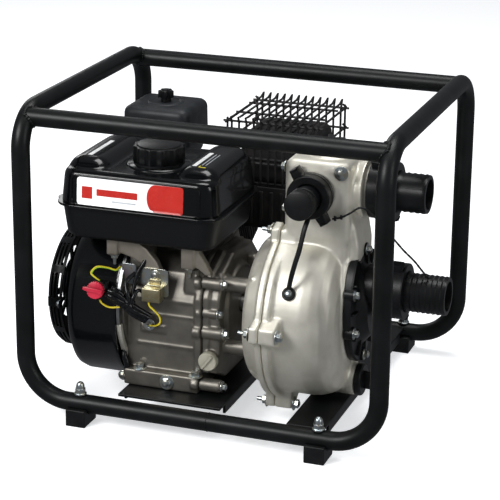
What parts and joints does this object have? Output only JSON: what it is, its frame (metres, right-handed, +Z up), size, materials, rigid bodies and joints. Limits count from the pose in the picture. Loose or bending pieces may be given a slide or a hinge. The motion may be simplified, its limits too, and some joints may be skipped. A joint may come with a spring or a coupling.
{
  "type": "portable fire pump",
  "caption": "Engine-driven self-priming water pump with cast volute, hose tails and recoil starter in a bent-tube carrying frame on rubber feet.",
  "frame": {"origin": "on the floor, under the middle of the whole object", "axes": "+Z up; +X from the recoil starter towards the suction port; +Y to the back, where the air filter and silencer are"},
  "size_m": [0.56, 0.461, 0.4345],
  "materials": {
    "frame_powder_coat": "satin black powder coat",
    "pump_casting": "fine sand-cast, satin",
    "engine_casting": "die-cast, dull grey",
    "gloss_black_paint": "high gloss",
    "black_plastic": "satin moulded",
    "dark_grey_plastic": "fine moulded grain",
    "beige_plastic": "satin moulded",
    "red_plastic": "semi-gloss moulded",
    "black_rubber": "matt",
    "zinc_plate": "bright zinc plated",
    "machined_steel": "turned and ground",
    "heat_black": "matt heat-resistant paint",
    "filter_foam": "open-cell foam"
  },
  "bodies": {
    "frame_and_engine": {"frame_loop": "frame_powder_coat", "front_top_rail": "frame_powder_coat", "rear_top_rail": "frame_powder_coat", "engine_plate": "frame_powder_coat", "pump_plate": "frame_powder_coat", "pump_back_casing": "pump_casting", "pump_casing": "pump_casting", "crankcase": "engine_casting", "crankcase_cover": "engine_casting", "cylinder": "engine_casting", "cylinder_head": "engine_casting", "carburettor": "engine_casting", "fuel_tank": "gloss_black_paint", "blower_housing": "gloss_black_paint", "rocker_cover": "gloss_black_paint", "recoil_cover": "black_plastic", "suction_flange": "black_plastic", "suction_tail": "black_plastic", "discharge_tail": "black_plastic", "branch_tail": "black_plastic", "filter_base": "dark_grey_plastic", "foot_front_left": "black_rubber", "foot_front_right": "black_rubber", "foot_rear_left": "black_rubber", "foot_rear_right": "black_rubber", "switch_body": "black_rubber", "shaft_seal": "black_rubber", "cap_strap": "black_rubber", "tie_cord": "black_rubber", "wiring_harness": "black_rubber", "acorn_nut_front_left": "zinc_plate", "acorn_nut_front_right": "zinc_plate", "acorn_nut_rear_left": "zinc_plate", "acorn_nut_rear_right": "zinc_plate", "oil_sensor_unit": "zinc_plate", "silencer": "heat_black", "silencer_guard": "heat_black", "filter_element": "filter_foam"},
    "crank_train": {"crankshaft": "machined_steel", "flywheel": "engine_casting", "impeller": "pump_casting"},
    "piston": {"piston": "machined_steel"},
    "recoil_grip": {"recoil_grip": "black_plastic"},
    "recoil_pulley": {"recoil_pulley": "dark_grey_plastic"},
    "fuel_cap": {"fuel_cap": "black_plastic"},
    "filter_cover": {"filter_cover": "dark_grey_plastic"},
    "filter_knob": {"filter_knob": "black_plastic"},
    "choke_lever": {"choke_lever": "black_plastic"},
    "fuel_lever": {"fuel_lever": "black_plastic"},
    "throttle_lever": {"throttle_lever": "zinc_plate"},
    "spark_plug_cap": {"spark_plug_cap": "black_rubber"},
    "switch_knob": {"switch_knob": "red_plastic"},
    "oil_dipstick": {"oil_dipstick": "beige_plastic"},
    "priming_plug": {"priming_plug": "black_plastic"},
    "drain_plug": {"drain_plug": "black_plastic"},
    "suction_ring": {"suction_ring": "black_plastic"},
    "discharge_ring": {"discharge_ring": "black_plastic"},
    "branch_ring": {"branch_ring": "black_plastic"},
    "branch_cap": {"branch_cap": "black_rubber"},
    "check_valve_flap": {"check_valve_flap": "black_rubber"}
  },
  "joints": [
    {"name": "crank_spin", "type": "hinge", "parent": "frame_and_engine", "child": "crank_train", "pos_m": [0, -0.075, 0.149], "axis": [1, 0, 0], "continuous": true},
    {"name": "piston_stroke", "type": "slide", "parent": "frame_and_engine", "child": "piston", "axis": [0, 0.9063, 0.4226], "range_m": [-0.027, 0.027]},
    {"name": "starter_pull", "type": "slide", "parent": "frame_and_engine", "child": "recoil_grip", "axis": [-0.6, 0.48, 0.64], "range_m": [0, 0.45]},
    {"name": "pulley_turn", "type": "hinge", "parent": "frame_and_engine", "child": "recoil_pulley", "pos_m": [-0.252, -0.075, 0.149], "axis": [1, 0, 0], "range_deg": [-10, 800]},
    {"name": "fuel_cap_turn", "type": "hinge", "parent": "frame_and_engine", "child": "fuel_cap", "pos_m": [-0.112, -0.112, 0.35], "axis": [0, 0, 1], "range_deg": [0, 90]},
    {"name": "filter_cover_lift", "type": "slide", "parent": "frame_and_engine", "child": "filter_cover", "axis": [0, 0, 1], "range_m": [0, 0.05]},
    {"name": "filter_knob_turn", "type": "hinge", "parent": "filter_cover", "child": "filter_knob", "pos_m": [-0.189, 0.106, 0.38], "axis": [0, 0, 1], "range_deg": [0, 720]},
    {"name": "choke_swing", "type": "hinge", "parent": "frame_and_engine", "child": "choke_lever", "pos_m": [-0.19, 0.084, 0.282], "axis": [1, 0, 0], "range_deg": [-30, 0]},
    {"name": "fuel_valve_swing", "type": "hinge", "parent": "frame_and_engine", "child": "fuel_lever", "pos_m": [-0.19, 0.084, 0.256], "axis": [1, 0, 0], "range_deg": [-40, 0]},
    {"name": "throttle_swing", "type": "hinge", "parent": "frame_and_engine", "child": "throttle_lever", "pos_m": [-0.15, -0.012, 0.236], "axis": [1, 0, 0], "range_deg": [0, 45]},
    {"name": "spark_cap_pull", "type": "slide", "parent": "frame_and_engine", "child": "spark_plug_cap", "axis": [0, -0.4226, 0.9063], "range_m": [0, 0.025]},
    {"name": "switch_turn", "type": "hinge", "parent": "frame_and_engine", "child": "switch_knob", "pos_m": [-0.171, -0.181, 0.184], "axis": [0.1025, -0.9734, 0.2049], "range_deg": [0, 60]},
    {"name": "dipstick_turn", "type": "hinge", "parent": "frame_and_engine", "child": "oil_dipstick", "pos_m": [-0.0235, -0.155, 0.093], "axis": [0, -1, 0], "range_deg": [0, 720]},
    {"name": "priming_plug_turn", "type": "hinge", "parent": "frame_and_engine", "child": "priming_plug", "pos_m": [0.115, -0.075, 0.376], "axis": [0, 0, 1], "range_deg": [0, 720]},
    {"name": "drain_plug_turn", "type": "hinge", "parent": "frame_and_engine", "child": "drain_plug", "pos_m": [0.16, -0.075, 0.062], "axis": [1, 0, 0], "range_deg": [0, 720]},
    {"name": "suction_ring_turn", "type": "hinge", "parent": "frame_and_engine", "child": "suction_ring", "pos_m": [0.2, -0.075, 0.195], "axis": [1, 0, 0], "range_deg": [0, 540]},
    {"name": "discharge_ring_turn", "type": "hinge", "parent": "frame_and_engine", "child": "discharge_ring", "pos_m": [0.19, -0.075, 0.331], "axis": [1, 0, 0], "range_deg": [0, 540]},
    {"name": "branch_ring_turn", "type": "hinge", "parent": "frame_and_engine", "child": "branch_ring", "pos_m": [0.107, -0.13, 0.331], "axis": [0, -1, 0], "range_deg": [0, 540]},
    {"name": "branch_cap_pull", "type": "slide", "parent": "frame_and_engine", "child": "branch_cap", "axis": [0, -1, 0], "range_m": [0, 0.03]},
    {"name": "check_valve_swing", "type": "hinge", "parent": "frame_and_engine", "child": "check_valve_flap", "pos_m": [0.1528, -0.075, 0.223], "axis": [0, 1, 0], "range_deg": [0, 50]}
  ],
  "couplings": [
    {"joint": "pulley_turn", "follows": "starter_pull", "rad_per_m": 30.3}
  ]
}
